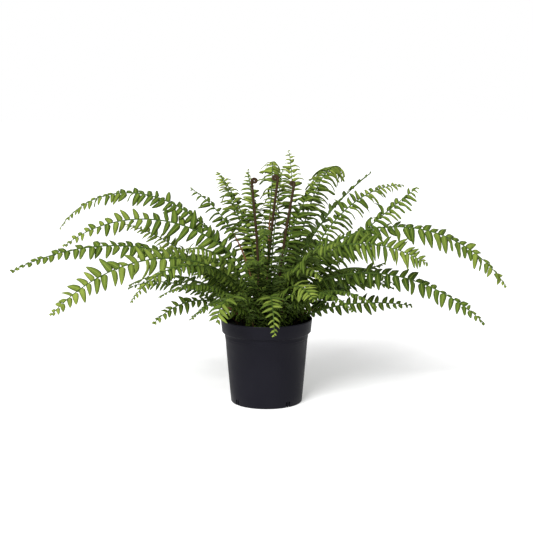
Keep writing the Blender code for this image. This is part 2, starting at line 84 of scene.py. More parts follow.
# azimuth of the rib, its length, its angle above level at the foot and at the tip, how late it bends,
# how far it turns sideways by the tip, how far its upper face leans to the viewer, the length of its
# longest leaflets, the distance between them, how far they keep their length towards the tip, its colour from
# deep (0) to young (1), the share of its rib that is brown and bare, and its habit. The colour is partly
# painted shade: the inner and low fronds deep in the crown are given low tones that darken them.
FRONDS = tuple(Frond(*row) for row in (
    (178, 0.464, 81, -56, 1.43, -15, 38, 0.027, 0.0090, 3, 0.44, 0.10, "arching"),
    (184, 0.431, 87, -38, 0.94, -6, 62, 0.043, 0.0122, 1.7, 0.46, 0.10, "open"),
    (186, 0.452, 88, -24, 0.55, 15, 42, 0.027, 0.0112, 2.6, 0.40, 0.10, "arching"),
    (208, 0.432, 87, -46, 0.70, -9, 58, 0.033, 0.0118, 4.5, 0.64, 0.10, "open"),
    (156, 0.281, 58, 9, 1.10, 0, 30, 0.031, 0.0068, 2.6, 0.58, 0.10, "open"),
    (160, 0.222, 46, -26, 1.20, 0, 25, 0.023, 0.0080, 2.6, 0.20, 0.20, "open"),
    (214, 0.300, 82, -52, 1.05, 0, 20, 0.029, 0.0074, 2.6, 0.50, 0.10, "arching"),
    (204, 0.190, 70, -45, 0.85, 0, 42, 0.022, 0.0090, 2.6, 0.36, 0.30, "open"),
    (239, 0.162, 66, -84, 1.90, 0, 0, 0.030, 0.0086, 9, 0.46, 0.12, "open"),
    (170, 0.261, 88, 32, 1.35, 0, 30, 0.023, 0.0082, 3, 0.30, 0.60, "upright"),
    (120, 0.301, 87, 22, 1.20, 0, 0, 0.030, 0.0080, 4, 0.78, 0.12, "upright"),
    (102, 0.275, 74, 53, 0.90, 0, 0, 0.025, 0.0072, 4, 0.84, 0.12, "upright"),
    (79, 0.333, 89, -2, 2.00, 14, 0, 0.030, 0.0078, 9, 0.66, 0.54, "weeping"),
    (61.5, 0.309, 76, 56, 0.60, 46, 0, 0.025, 0.0082, 9, 0.68, 0.12, "upright"),
    (54, 0.372, 66, -52, 4.00, 12, 20, 0.034, 0.0072, 9, 0.60, 0.20, "weeping"),
    (356, 0.300, 84, 38, 0.95, 0, -12, 0.022, 0.0088, 3.5, 0.16, 0.12, "edge_on"),
    (26, 0.341, 69, -4, 1.90, 0, 35, 0.031, 0.0074, 4, 0.47, 0.12, "upright"),
    (2.5, 0.314, 76, 38, 0.32, -7, 35, 0.032, 0.0080, 7, 0.36, 0.12, "upright"),
    (359, 0.491, 85, -56, 0.90, -4, 34, 0.030, 0.0106, 7, 0.42, 0.10, "arching"),
    (330, 0.347, 88, -33, 0.90, 25, 50, 0.033, 0.0078, 9, 0.42, 0.10, "open"),
    (345, 0.399, 87, -44, 0.58, 12, 42, 0.033, 0.0112, 3.2, 0.26, 0.10, "arching"),
    (2, 0.208, 59, -9, 0.38, -2, 60, 0.024, 0.0100, 3, 0.18, 0.10, "open"),
    (16, 0.194, 40, -22, 1.95, 0, 30, 0.021, 0.0100, 2.6, 0.08, 0.20, "arching"),
    (24, 0.195, 38, 14, 1.40, 0, 10, 0.020, 0.0074, 2.6, 0.14, 0.20, "inner"),
    (274, 0.184, 84, -88, 1.20, 4, 0, 0.029, 0.0086, 2.6, 0.54, 0.10, "hanging"),
    (302, 0.170, 86, -40, 1.20, 0, 16, 0.033, 0.0076, 4, 0.56, 0.06, "open"),
    (312, 0.192, 86, -46, 1.70, 0, 20, 0.028, 0.0080, 2.6, 0.52, 0.12, "arching"),
    (266, 0.300, 88, -80, 2.20, 0, 0, 0.019, 0.0074, 2.6, 0.22, 0.06, "inner"),
    (96, 0.380, 60, -40, 0.90, 0, 0, 0.032, 0.0062, 2.6, 0.34, 0.12, "back"),
    (72, 0.370, 66, -36, 0.90, 0, 0, 0.032, 0.0062, 2.6, 0.34, 0.12, "back"),
    (122, 0.345, 62, -38, 0.85, 0, 0, 0.031, 0.0062, 2.6, 0.38, 0.12, "back"),
    (48, 0.320, 54, -32, 0.80, 0, 0, 0.027, 0.0062, 2.6, 0.30, 0.12, "back"),
    (142, 0.285, 52, -28, 0.80, 0, 0, 0.018, 0.0062, 2.6, 0.30, 0.12, "inner"),
    (84, 0.290, 42, -25, 0.80, 0, 0, 0.025, 0.0062, 2.6, 0.22, 0.12, "back"),
    (110, 0.275, 40, -26, 0.80, 0, 0, 0.025, 0.0062, 2.6, 0.22, 0.12, "back"),
    (60, 0.265, 40, -28, 0.80, 0, 0, 0.025, 0.0062, 2.6, 0.22, 0.12, "back"),
    (215, 0.212, 76, -25, 0.90, 0, 10, 0.016, 0.0062, 2.6, 0.28, 0.08, "inner"),
    (254, 0.165, 80, 8, 1.00, 0, 0, 0.022, 0.0062, 2.6, 0.16, 0.05, "inner"),
    (280, 0.200, 80, 24, 1.00, 0, 0, 0.022, 0.0062, 2.6, 0.20, 0.05, "inner"),
    (310, 0.205, 74, -30, 0.90, 0, 0, 0.018, 0.0062, 2.6, 0.22, 0.06, "inner"),
    (326, 0.205, 72, -30, 0.90, 0, 8, 0.014, 0.0062, 2.6, 0.20, 0.08, "inner"),
    (353, 0.212, 74, -25, 0.90, 0, 12, 0.020, 0.0062, 2.6, 0.14, 0.08, "inner"),
    (193, 0.182, 70, 22, 1.00, 0, 12, 0.028, 0.0056, 2.6, 0.36, 0.15, "inner"),
    (226, 0.168, 74, -36, 0.90, 0, 5, 0.017, 0.0062, 2.6, 0.22, 0.05, "inner"),
    (110, 0.260, 86, 58, 1.00, 0, 0, 0.028, 0.0076, 5, 0.36, 0.15, "upright"),
    (316, 0.215, 84, 10, 1.20, 0, 0, 0.031, 0.0062, 5, 0.38, 0.36, "inner"),
    (128, 0.265, 86, 45, 1.10, 0, 0, 0.030, 0.0076, 4, 0.36, 0.15, "upright"),
    (160, 0.203, 80, 38, 1.20, 0, 10, 0.026, 0.0052, 2.6, 0.34, 0.10, "inner"),
    (50, 0.270, 85, 40, 1.10, 0, 0, 0.036, 0.0072, 6, 0.34, 0.15, "upright"),
    (76, 0.270, 87, 50, 1.10, 0, 0, 0.034, 0.0070, 5, 0.36, 0.15, "upright"),
    (8, 0.225, 78, 5, 1.10, 0, 15, 0.034, 0.0062, 2.6, 0.34, 0.15, "inner"),
    (248, 0.115, 74, 16, 0.90, 0, 0, 0.020, 0.0062, 2.6, 0.10, 0.03, "inner"),
    (293, 0.115, 74, 16, 0.90, 0, 0, 0.020, 0.0062, 2.6, 0.10, 0.03, "inner"),
    (259, 0.225, 86, -20, 1.30, 0, 0, 0.021, 0.0062, 2.6, 0.26, 0.06, "inner"),
    (222, 0.235, 84, -5, 1.20, 0, 30, 0.031, 0.0076, 2.6, 0.44, 0.06, "arching"),
))

Habit = namedtuple("Habit", "droop skyward width arch foot")
# how many degrees the leaflets hang below the blade's plane, how strongly they turn their faces to the sky
# where the rib is steep, their width as a share of the distance between them, a factor on their arch,
# and their length at the foot of the blade as a share of the longest
HABITS = {
    "arching": Habit(14, 0.3, 1.10, 1.0, 0.24),
    "open": Habit(2, 0.3, 1.00, 1.0, 0.28),
    "upright": Habit(8, 3.2, 1.00, 1.5, 0.70),
    "weeping": Habit(28, 2.6, 1.00, 1.4, 0.70),
    "edge_on": Habit(-34, 0.0, 0.95, 1.0, 0.40),
    "hanging": Habit(-6, 0.2, 0.74, 1.3, 0.60),
    "inner": Habit(12, 2.0, 1.45, 1.2, 0.90),
    "back": Habit(34, 0.8, 1.45, 1.2, 0.90),
}

Fiddlehead = namedtuple("Fiddlehead", "foot top coil side")
# where the stalk leaves the soil, where it ends under the coil, the coil's radius, and which side it rolls to
FIDDLEHEADS = tuple(Fiddlehead(*row) for row in (
    ((-0.009, -0.006), (-0.0239, -0.005, 0.3642), 0.0047, 1),
    ((0.001, -0.003), (0.0185, -0.003, 0.3685), 0.0049, -1),
    ((0.011, -0.006), (0.0449, -0.005, 0.3597), 0.0039, -1),
))
FIDDLE_BOW = 0.004
COIL_TURNS = 1.9
COIL_INNER = 0.0006

# How many steps each line and turned shape has
RIB_STEPS = 60
STALK_STEPS = 40
COIL_STEPS = 90
POT_STEPS = 160
ARCH_STEPS = 8

# The pot's double line and its slots: how far the line is below the rim band, the azimuth of each slot, the
# post in its middle, and how far the cutter reaches past the wall and below the floor
LINE_BELOW_RIM = 0.011
SLOT_AZIMUTHS = (36.5, 126.5, 216.5, 306.5)
SLOT_POST = 0.0016
SLOT_REACH = 0.006
SLOT_BELOW = 0.002

# The soil: its rings as shares of its radius, their points, its gap to the wall, and how uneven its top is
SOIL_RINGS = (0.10, 0.2, 0.3, 0.4, 0.5, 0.6, 0.7, 0.8, 0.88, 0.95)
SOIL_SEGMENTS = 96
SOIL_FIT = 0.0005
SOIL_GRAIN = 0.0007
SOIL_WAVE = 0.0008
CRUMB_SHAPES = 3

# Leaflets: the share of the blade where they are longest, how much closer they stand at its foot, the power
# of their shortening to the tip, the least length, and how far the width follows the length
FOOT_END = 0.62
FOOT_CROWDING = 1.4
TAPER_END = 0.72
LEAST_LENGTH = 0.0045
WIDTH_FOLLOWS = 0.36
# Their angle towards the tip, from the blade's foot to its end, and the tone added over its outer half: paler
# young growth, and painted light shining through the thin tips
FORWARD = (radians(5), radians(28))
TIP_TONE = (-0.02, 0.26)
# How much chance changes each leaflet. A rare one twists much further than the others.
PLACE_VARIES = (0.16, 0.44)
LENGTH_VARIES = (0.78, 1.12)
WIDTH_VARIES = (0.88, 1.12)
DROOP_VARIES = 0.12
FORWARD_VARIES = 0.16
TWIST_VARIES = 0.12
RARE_TWIST = 0.9
TONE_VARIES = 0.17
# The power of a rib's taper
RIB_TAPER = 0.8

# The leaflet's outline: share of its length, then its half widths to the frond's tip and to its foot
LEAFLET_OUTLINE = (
    (0.00, 0.08, 0.08), (0.05, 0.48, 0.34), (0.16, 0.54, 0.46), (0.35, 0.49, 0.46),
    (0.55, 0.41, 0.41), (0.75, 0.29, 0.31), (0.92, 0.14, 0.16), (1.00, 0.00, 0.00),
)
LEAFLET_COLUMNS = (-1, -0.5, 0, 0.5, 1)
LEAFLET_SWEEP = 0.20
LEAFLET_THICKNESS = 0.016
# How far a leaflet's form arches, cups across, and waves at its edge: one row for each form
LEAFLET_FORMS = ((0.30, 0.10, 0.02), (0.40, 0.16, -0.025), (0.22, 0.20, 0.035))
# Its side veins in the finish: how many, and how far they slant towards its tip
VEINS = 15.0
VEIN_SLANT = 2.6

# Folds in degrees and sizes to try, in this order, for a leaflet that would meet a rib, a stalk or the pot
LEAFLET_TRIES = ((0, 1.0), (22, 1.0), (-22, 1.0), (42, 0.85), (-42, 0.85), (0, 0.45))
# Where the test ray starts, how far it goes as a share of the length, and the room round each obstacle
CLEAR_OF_RIB = 0.003
RAY_REACH = 1.1
RIB_CLEARANCE = 0.0017
STALK_CLEARANCE = 0.0026
POT_CLEARANCE = 0.0015

# Where the key light comes from, and the camera: its place, how many degrees it looks down, and its focal
# length in pixels of the square photo
KEY_PLACE = (-0.55, -1.2, 1.15)
CAMERA_PLACE = (0, -2.2, 0.6)
CAMERA_DIP = 9.7
FOCAL_PIXELS = 1372
PHOTO_PIXELS = 533
SENSOR_WIDTH = 36

# Settings

Length = partial(bpy.props.FloatProperty, unit="LENGTH")
Angle = partial(bpy.props.FloatProperty, subtype="ANGLE")
Factor = partial(bpy.props.FloatProperty, min=0)
Colour = partial(bpy.props.FloatVectorProperty, size=3, subtype="COLOR", min=0, max=1)


class FernPotSettings(bpy.types.PropertyGroup):
    height: Length(name="Height", description="Height of the pot", default=0.139, min=0.05)
    rim_radius: Length(
        name="Rim Radius", description="Outer radius of the rim at its top", default=0.075, min=0.03)
    rim_foot_radius: Length(
        name="Rim Foot Radius", description="Outer radius of the rim band at its lower edge", default=0.0728)
    rim_depth: Length(name="Rim Depth", description="Height of the rim band", default=0.0225)
    shoulder_radius: Length(
        name="Shoulder Radius", description="Outer radius just below the rim band", default=0.0687)
    base_radius: Length(name="Base Radius", description="Outer radius at the floor", default=0.0585)
    wall: Length(name="Wall", description="Thickness of the plastic", default=0.0018)
    slot_width: Length(name="Slot Width", description="Width of each drainage slot", default=0.008)
    slot_height: Length(name="Slot Height", description="Height of each drainage slot", default=0.010)
    colour: Colour(
        name="Plastic", description="Colour of the charcoal plastic", default=(0.0084, 0.0081, 0.0122))
    worn_colour: Colour(
        name="Scuffed Plastic", description="Colour of the plastic where it is rubbed or dusty",
        default=(0.016, 0.016, 0.021))


class FernSoilSettings(bpy.types.PropertyGroup):
    crumb_size: Length(name="Crumb Size", description="Radius of the largest soil crumbs", default=0.0026)
    crumb_density: Factor(
        name="Crumb Density", description="Soil crumbs for each square metre", default=90000)
    colour: Colour(name="Soil", description="Colour of the damp soil", default=(0.004, 0.003, 0.0025))
    dry_colour: Colour(
        name="Dry Soil", description="Colour of the driest crumbs", default=(0.014, 0.010, 0.007))
    perlite_colour: Colour(
        name="Perlite", description="Colour of the few pale grains", default=(0.55, 0.54, 0.50))


class FernFrondSettings(bpy.types.PropertyGroup):
    spacing: Factor(
        name="Leaflet Spacing", description="Factor on the distance between neighbouring leaflets",
        default=1, min=0.4)
    crowding: Factor(
        name="Crowding", description="How much closer the leaflets stand towards the tip", default=1.25,
        min=1)
    droop: Angle(
        name="Added Droop", description="Added to how far the leaflets hang below the blade's plane",
        default=0)
    stray: Angle(
        name="Stray", description="How far the most unruly leaflets stray from their neighbours",
        default=radians(34))
    skyward: Factor(
        name="Skyward", description="Factor on how strongly the leaflets turn their faces to the sky",
        default=1)
    width_share: Factor(name="Leaflet Width", description="Factor on the width of the leaflets", default=1)
    stalk_radius: Length(
        name="Stalk Radius", description="Radius of a frond's stalk at the soil", default=0.0018)
    tip_radius: Length(name="Tip Radius", description="Radius of a rib at its tip", default=0.0005)
    # The deep green also serves as painted shade: the low tones of the inner and low fronds bring it in.
    deep: Colour(
        name="Deep Green", description="Colour of the oldest leaflets", default=(0.020, 0.046, 0.004))
    mature: Colour(
        name="Mature Green", description="Colour of the usual leaflet", default=(0.081, 0.132, 0.017))
    # Towards the tips the young green is partly painted light shining through the thin blade.
    young: Colour(
        name="Young Green", description="Colour of the youngest leaflets", default=(0.290, 0.362, 0.064))
    underside: Colour(
        name="Underside", description="Colour that the undersides fade to", default=(0.138, 0.200, 0.066))
    rib: Colour(name="Green Rib", description="Colour of the ribs", default=(0.070, 0.122, 0.022))
    stalk: Colour(
        name="Brown Stalk", description="Colour of the stalks near the soil", default=(0.205, 0.092, 0.046))


class FernFiddleheadSettings(bpy.types.PropertyGroup):
    radius: Length(name="Stalk Radius", description="Radius of the stalk", default=0.0021)
    coil_radius: Length(name="Coil Tube Radius", description="Radius of the rolled blade", default=0.0015)
    scale_length: Length(name="Scale Length", description="Length of the papery scales", default=0.0016)
    colour: Colour(name="Stalk Brown", description="Colour of the stalk", default=(0.026, 0.015, 0.007))
    scale_colour: Colour(
        name="Scale Brown", description="Colour of the papery scales", default=(0.122, 0.078, 0.045))


class FernStageSettings(bpy.types.PropertyGroup):
    floor_size: Length(name="Floor Size", description="Side of the square floor", default=14.0)
    floor_colour: Colour(name="Floor", description="Colour of the floor", default=(0.82, 0.82, 0.82))
    floor_glow: Factor(
        name="Floor Glow", description="How far the floor shines by itself, as a backlit sweep does",
        default=0.34)
    sky_strength: Factor(
        name="Sky Strength", description="Light from the white surroundings", default=0.45)
    key_strength: Factor(
        name="Key Light", description="Strength of the key light at the front left", default=3.8)
    key_softness: Angle(
        name="Key Softness", description="Angle that the key light spans", default=radians(30))


# Building blocks


class Signal:
    """What one output of a node gives. Arithmetic with it adds math nodes to the same tree."""

    def __init__(self, net, socket):
        self.net = net
        self.socket = socket

    def __getitem__(self, name):
        """Another output of the same node."""
        return self.net.signal(self.socket.node.outputs[name])

    def __add__(self, other):
        return self.net.math("ADD", self, other)

    def __sub__(self, other):
        return self.net.math("SUBTRACT", self, other)

    def __rsub__(self, other):
        return self.net.math("SUBTRACT", other, self)

    def __mul__(self, other):
        return self.net.math("MULTIPLY", self, other)

    def __truediv__(self, other):
        return self.net.math("DIVIDE", self, other)

    def __pow__(self, other):
        return self.net.math("POWER", self, other)

    def __abs__(self):
        return self.net.math("ABSOLUTE", self)

    def __gt__(self, other):
        return self.net.math("GREATER_THAN", self, other)


class Arrow(Signal):
    """A vector, which can be added to and taken from another, and scaled by a number."""

    def __add__(self, other):
        return self.net.add("ShaderNodeVectorMath", self, other, operation="ADD")

    def __sub__(self, other):
        return self.net.add("ShaderNodeVectorMath", self, other, operation="SUBTRACT")

    def __mul__(self, factor):
        return self.net.add("ShaderNodeVectorMath", self, named={"Scale": factor}, operation="SCALE")


def titled(key):
    """A socket's name from the word that the script uses for it."""
    return key.replace("_", " ").title()


def opaque(colour):
    return colour if isinstance(colour, Signal) else (*colour, 1)


class Net:
    """Adds nodes to one tree in short calls. An input takes a plain value or a signal."""

    def __init__(self, tree):
        self.tree = tree

    def signal(self, socket):
        return (Arrow if socket.type == "VECTOR" else Signal)(self, socket)

    def feed(self, socket, value):
        if isinstance(value, Signal):
            self.tree.links.new(value.socket, socket)
        elif value is not None:
            socket.default_value = value

    def add(self, kind, *values, named=None, **settings):
        """A new node, fed in the order of its sockets or by their names. It gives its first output."""
        node = self.tree.nodes.new(kind)
        for key, value in settings.items():
            setattr(node, key, value)
        sockets = [socket for socket in node.inputs if socket.enabled]
        for socket, value in zip(sockets, values):
            self.feed(socket, value)
        for key, value in (named or {}).items():
            self.feed(next(socket for socket in sockets if socket.name == key), value)
        return self.signal(next(output for output in node.outputs if output.enabled))

    def close(self, **results):
        """Feeds the tree's own outputs, and returns the tree."""
        sockets = self.tree.nodes.new("NodeGroupOutput").inputs
        for key, value in results.items():
            self.feed(sockets[titled(key)], value)
        return self.tree

    def math(self, operation, *values, clamp=False):
        return self.add("ShaderNodeMath", *values, operation=operation, use_clamp=clamp)

    def xyz(self, *values):
        return self.add("ShaderNodeCombineXYZ", *values)

    def ramp(self, value, low, high, to_low=0.0, to_high=1.0, smooth=True):
        """The value's place between low and high, from to_low to to_high, held at both ends."""
        return self.add("ShaderNodeMapRange", value, low, high, to_low, to_high,
                        interpolation_type="SMOOTHSTEP" if smooth else "LINEAR")

    def mix(self, factor, first, second):
        """Two colours mixed. A plain colour is given as three numbers."""
        return self.add("ShaderNodeMix", factor, opaque(first), opaque(second), data_type="RGBA")

    def noise(self, where, scale, detail, roughness=None):
        return self.add("ShaderNodeTexNoise", named={
            "Vector": where, "Scale": scale, "Detail": detail, "Roughness": roughness})

    def carried(self, name):
        """What the mesh carries under this name, in a material."""
        return self.add("ShaderNodeAttribute", attribute_name=name)

    def attribute(self, name, data_type="FLOAT"):
        """What the mesh carries under this name, in a geometry tree."""
        return self.add("GeometryNodeInputNamedAttribute", name, data_type=data_type)

    def store(self, geometry, name, value):
        return self.add("GeometryNodeStoreNamedAttribute", geometry, None, name, value, data_type="FLOAT")

    def random(self, low, high, seed, data_type="FLOAT"):
        return self.add("FunctionNodeRandomValue", low, high, named={"Seed": seed}, data_type=data_type)

    def rotated(self, rotation, angles):
        """A rotation with another one, given by its angles, added on its own axes."""
        added = self.add("FunctionNodeEulerToRotation", angles)
        return self.add("FunctionNodeRotateRotation", rotation, added, rotation_space="LOCAL")

    def tube(self, curve, radius, sides=8):
        """A round tube along a curve."""
        ring = self.add("GeometryNodeCurvePrimitiveCircle", sides, named={"Radius": 1.0})
        return self.add("GeometryNodeCurveToMesh", curve, ring, named={"Scale": radius, "Fill Caps": True})

    def realized(self, *pieces):
        """The pieces joined, with their instances made real."""
        joined = self.add("GeometryNodeJoinGeometry")
        for piece in pieces:
            self.feed(joined.socket.node.inputs[0], piece)
        return self.add("GeometryNodeRealizeInstances", joined)

    def painted(self, geometry, finish, where=None):
        return self.add("GeometryNodeSetMaterial", geometry, where, finish)


def open_tree(name, results=None, **inputs):
    """A new node group: its net and its inputs. An input is given by its default, or by its kind."""
    tree = bpy.data.node_groups.new(name, "ShaderNodeTree" if results else "GeometryNodeTree")
    for key, value in inputs.items():
        kind = value if isinstance(value, str) else type(value).__name__.title()
        item = tree.interface.new_socket(name=titled(key), in_out="INPUT", socket_type="NodeSocket" + kind)
        if kind != value:
            item.default_value = value
    for key, kind in (results or {"geometry": "Geometry"}).items():
        tree.interface.new_socket(name=titled(key), in_out="OUTPUT", socket_type="NodeSocket" + kind)
    net = Net(tree)
    sockets = tree.nodes.new("NodeGroupInput").outputs
    return net, SimpleNamespace(**{key: net.signal(sockets[titled(key)]) for key in inputs})


def plain_mesh(name, verts, edges=(), faces=()):
    mesh = bpy.data.meshes.new(name)
    mesh.from_pydata([tuple(vert) for vert in verts], edges, faces)
    return mesh


def chain(name, points):
    """A mesh of points, each joined to the next."""
    return plain_mesh(name, points, [(i, i + 1) for i in range(len(points) - 1)])


def mesh_from(bm, name):
    mesh = bpy.data.meshes.new(name)
    bm.to_mesh(mesh)
    bm.free()
    return mesh


def spin_section(bm, section, steps):
    """Turns a half section, as rows of radius and height, once round the upright axis."""
    verts = [bm.verts.new((radius, 0, height)) for radius, height in section]
    edges = [bm.edges.new(pair) for pair in zip(verts, verts[1:])]
    bmesh.ops.spin(bm, geom=verts + edges, cent=(0, 0, 0), axis=(0, 0, 1), angle=2 * pi, steps=steps,
                   use_merge=True)


def give(mesh, name, values, kind="FLOAT"):
    """Stores one value for each of a mesh's points."""
    data = mesh.attributes.new(name, kind, "POINT").data
    if kind == "FLOAT":
        data.foreach_set("value", values)
    else:
        data.foreach_set("vector", [number for value in values for number in value])


def add_object(name, data):
    obj = bpy.data.objects.new(name, data)
    bpy.context.scene.collection.objects.link(obj)
    return obj


def collected(name, shapes):
    pool = bpy.data.collections.new(name)
    for shape in shapes:
        pool.objects.link(shape)
    return pool


def drop(*things):
    """Removes helper objects, and helper collections with what is in them."""
    for thing in things:
        if isinstance(thing, bpy.types.Collection):
            drop(*thing.objects)
            bpy.data.collections.remove(thing)
        else:
            bpy.data.objects.remove(thing)


def evaluated_mesh(obj):
    """A plain mesh of the object as its modifiers make it."""
    graph = bpy.context.evaluated_depsgraph_get()
    return bpy.data.meshes.new_from_object(
        obj.evaluated_get(graph), preserve_all_data_layers=True, depsgraph=graph)


def grow(name, mesh, tree, **inputs):
    """Runs a geometry tree on a mesh, and returns the result as an object with a plain mesh."""
    source = add_object(name + "_source", mesh)
    modifier = source.modifiers.new(tree.name, "NODES")
    modifier.node_group = tree
    identifiers = {item.name: item.identifier for item in tree.interface.items_tree if item.in_out == "INPUT"}
    for key, value in inputs.items():
        modifier[identifiers[titled(key)]] = value
    made = evaluated_mesh(source)
    source.modifiers.remove(modifier)
    drop(source)
    made.name = name
    return add_object(name, made)


def dress(piece, slot, *nodes):
    """Puts a finished piece on the frame, in the place of its CAD nodes."""
    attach(piece, "root")
    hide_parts(*nodes)


# Finishes


def shade(colour, factor):
    """A plain colour made darker or lighter."""
    return [channel * factor for channel in colour]


def mottle_group():
    """Two colours in soft blotches, on the object's own coordinates, with the blotches as a mask."""
    if "Mottle" in bpy.data.node_groups:
        return bpy.data.node_groups["Mottle"]
    net, take = open_tree("Mottle", {"color": "Color", "mask": "Float"}, color_a="Color", color_b="Color",
                          scale=40.0, amount=1.0)
    where = net.add("ShaderNodeTexCoord")["Object"]
    mask = net.ramp(net.noise(where, take.scale, 4.0, 0.6), 0.32, 0.68)
    return net.close(color=net.mix(mask * take.amount, take.color_a, take.color_b), mask=mask)


def mottled(net, first, second, scale, amount=1.0):
    """The group's colour and mask, placed in a material."""
    colour = net.add("ShaderNodeGroup", opaque(first), opaque(second), scale, amount,
                     node_tree=mottle_group())
    return colour, colour["Mask"]


def new_material(name, roughness, specular=0.5):
    """A new material, the net of its tree, and the inputs of its principled shader."""
    material = bpy.data.materials.new(name)
    material.use_nodes = True
    shader = material.node_tree.nodes["Principled BSDF"].inputs
    shader["Roughness"].default_value = roughness
    shader["Specular IOR Level"].default_value = specular
    return material, Net(material.node_tree), shader


def bumped(net, shader, height, strength, distance):
    net.feed(shader["Normal"], net.add("ShaderNodeBump", named={
        "Height": height, "Strength": strength, "Distance": distance}))


def leaflet_material(look):
    """Satin fern green: paler midrib, side veins and undersides, and a tone that each leaflet carries."""
    material, net, shader = new_material("fern leaflet", 0.45, specular=0.04)
    place = net.add("ShaderNodeSeparateXYZ", net.carried("leaf")["Vector"])
    off_middle = abs(place["Y"])
    tone = net.carried("tone")["Fac"]
    # Low tones bring in the deep green, partly as painted shade on the inner and low fronds.
    green = net.mix(net.ramp(tone, 0.0, 0.5, smooth=False), look.deep, look.mature)
    green = net.mix(net.ramp(tone, 0.5, 1.0, smooth=False), green, look.young)
    green, blotches = mottled(net, green, net.mix(0.34, green, look.deep), scale=70.0)
    slant = place["X"] * VEINS - off_middle * VEIN_SLANT
    vein = net.ramp(abs(net.math("FRACT", slant) - 0.5), 0.0, 0.16, 1, 0)
    midrib = net.ramp(off_middle, 0.03, 0.14, 1, 0)
    edge = net.ramp(off_middle, 0.80, 1.0)
    for paler, amount in ((vein, 0.16), (edge, 0.22), (midrib, 0.55)):
        green = net.mix(paler * amount, green, look.young)
    below = net.math("SUBTRACT", 1.0, place["Z"], clamp=True)
    net.feed(shader["Base Color"], net.mix(below * 0.45, green, look.underside))
    net.feed(shader["Roughness"], below * 0.22 + 0.40)
    bumped(net, shader, blotches * 0.25 - vein * 0.5 - midrib, strength=0.5, distance=0.0004)
    return material


def stalk_material(look):
    """Ribs: nearly black at the soil, brown above it and green further up, with fine lumps."""
    material, net, shader = new_material("fern rib", 0.5, specular=0.06)
    along = net.carried("along")["Fac"]
    past_brown = along - net.carried("brown")["Fac"]
    brown, _ = mottled(net, look.stalk, shade(look.stalk, 0.55), scale=260.0)
    brown = net.mix(net.ramp(along, 0.05, 0.16), shade(look.stalk, 0.10), brown)
    green, blotches = mottled(net, look.rib, shade(look.rib, 0.62), scale=160.0)
    net.feed(shader["Base Color"], net.mix(net.ramp(past_brown, -0.04, 0.05), brown, green))
    bumped(net, shader, blotches, strength=0.4, distance=0.0003)
    return material


def plastic_material(look):
    """Moulded charcoal plastic: satin, with faint turning lines, rubbed patches and dust by the floor."""
    material, net, shader = new_material("charcoal plastic", 0.5, specular=0.05)
    where = net.add("ShaderNodeTexCoord")["Object"]
    height = net.add("ShaderNodeSeparateXYZ", where)["Z"]
    colour, blotches = mottled(net, look.colour, look.worn_colour, scale=26.0, amount=0.16)
    dust = net.ramp(height, 0.0, 0.020, 0.22, 0.0) * blotches
    net.feed(shader["Base Color"], net.mix(dust, colour, look.worn_colour))
    net.feed(shader["Roughness"], blotches * 0.12 + 0.40)
    stretched = net.add("ShaderNodeVectorMath", where, (6.0, 6.0, 700.0), operation="MULTIPLY")
    grain = net.noise(where, 900.0, 2.0)
    lines = net.noise(stretched, 1.0, 2.0)
    bumped(net, shader, grain * 0.6 + lines, strength=0.10, distance=0.0006)
    return material


def soil_material(look):
    """Damp dark soil with drier patches and fine lumps."""
    material, net, shader = new_material("potting soil", 0.92, specular=0.25)
    colour, _ = mottled(net, look.colour, look.dry_colour, scale=320.0, amount=0.55)
    colour, lumps = mottled(net, colour, look.colour, scale=1400.0, amount=0.5)
    net.feed(shader["Base Color"], colour)
    bumped(net, shader, lumps, strength=0.8, distance=0.0006)
    return material


def perlite_material(look):
    """Chalky pale grains."""
    material, net, shader = new_material("perlite grain", 0.8)
    colour, lumps = mottled(net, look.perlite_colour, shade(look.perlite_colour, 0.6), scale=1500.0)
    net.feed(shader["Base Color"], colour)
    bumped(net, shader, lumps, strength=0.6, distance=0.0003)
    return material


def crozier_material(look):
    """Dark brown stalk and coil, with paler papery scales."""
    material, net, shader = new_material("fiddlehead brown", 0.7, specular=0.12)
    stalk, lumps = mottled(net, look.colour, shade(look.colour, 2.0), scale=420.0)
    papery, _ = mottled(net, look.scale_colour, shade(look.scale_colour, 0.5), scale=300.0)
    net.feed(shader["Base Color"], net.mix(net.carried("flake")["Fac"], stalk, papery))
    bumped(net, shader, lumps, strength=0.6, distance=0.0003)
    return material


def floor_material(look):
    """Matt white studio floor with a faint glow of its own."""
    material, net, shader = new_material("studio floor", 0.9, specular=0.1)
    colour, _ = mottled(net, look.floor_colour, shade(look.floor_colour, 0.985), scale=0.6)
    net.feed(shader["Base Color"], colour)
    shader["Emission Color"].default_value = (1, 1, 1, 1)
    shader["Emission Strength"].default_value = look.floor_glow
    return material


# The pot


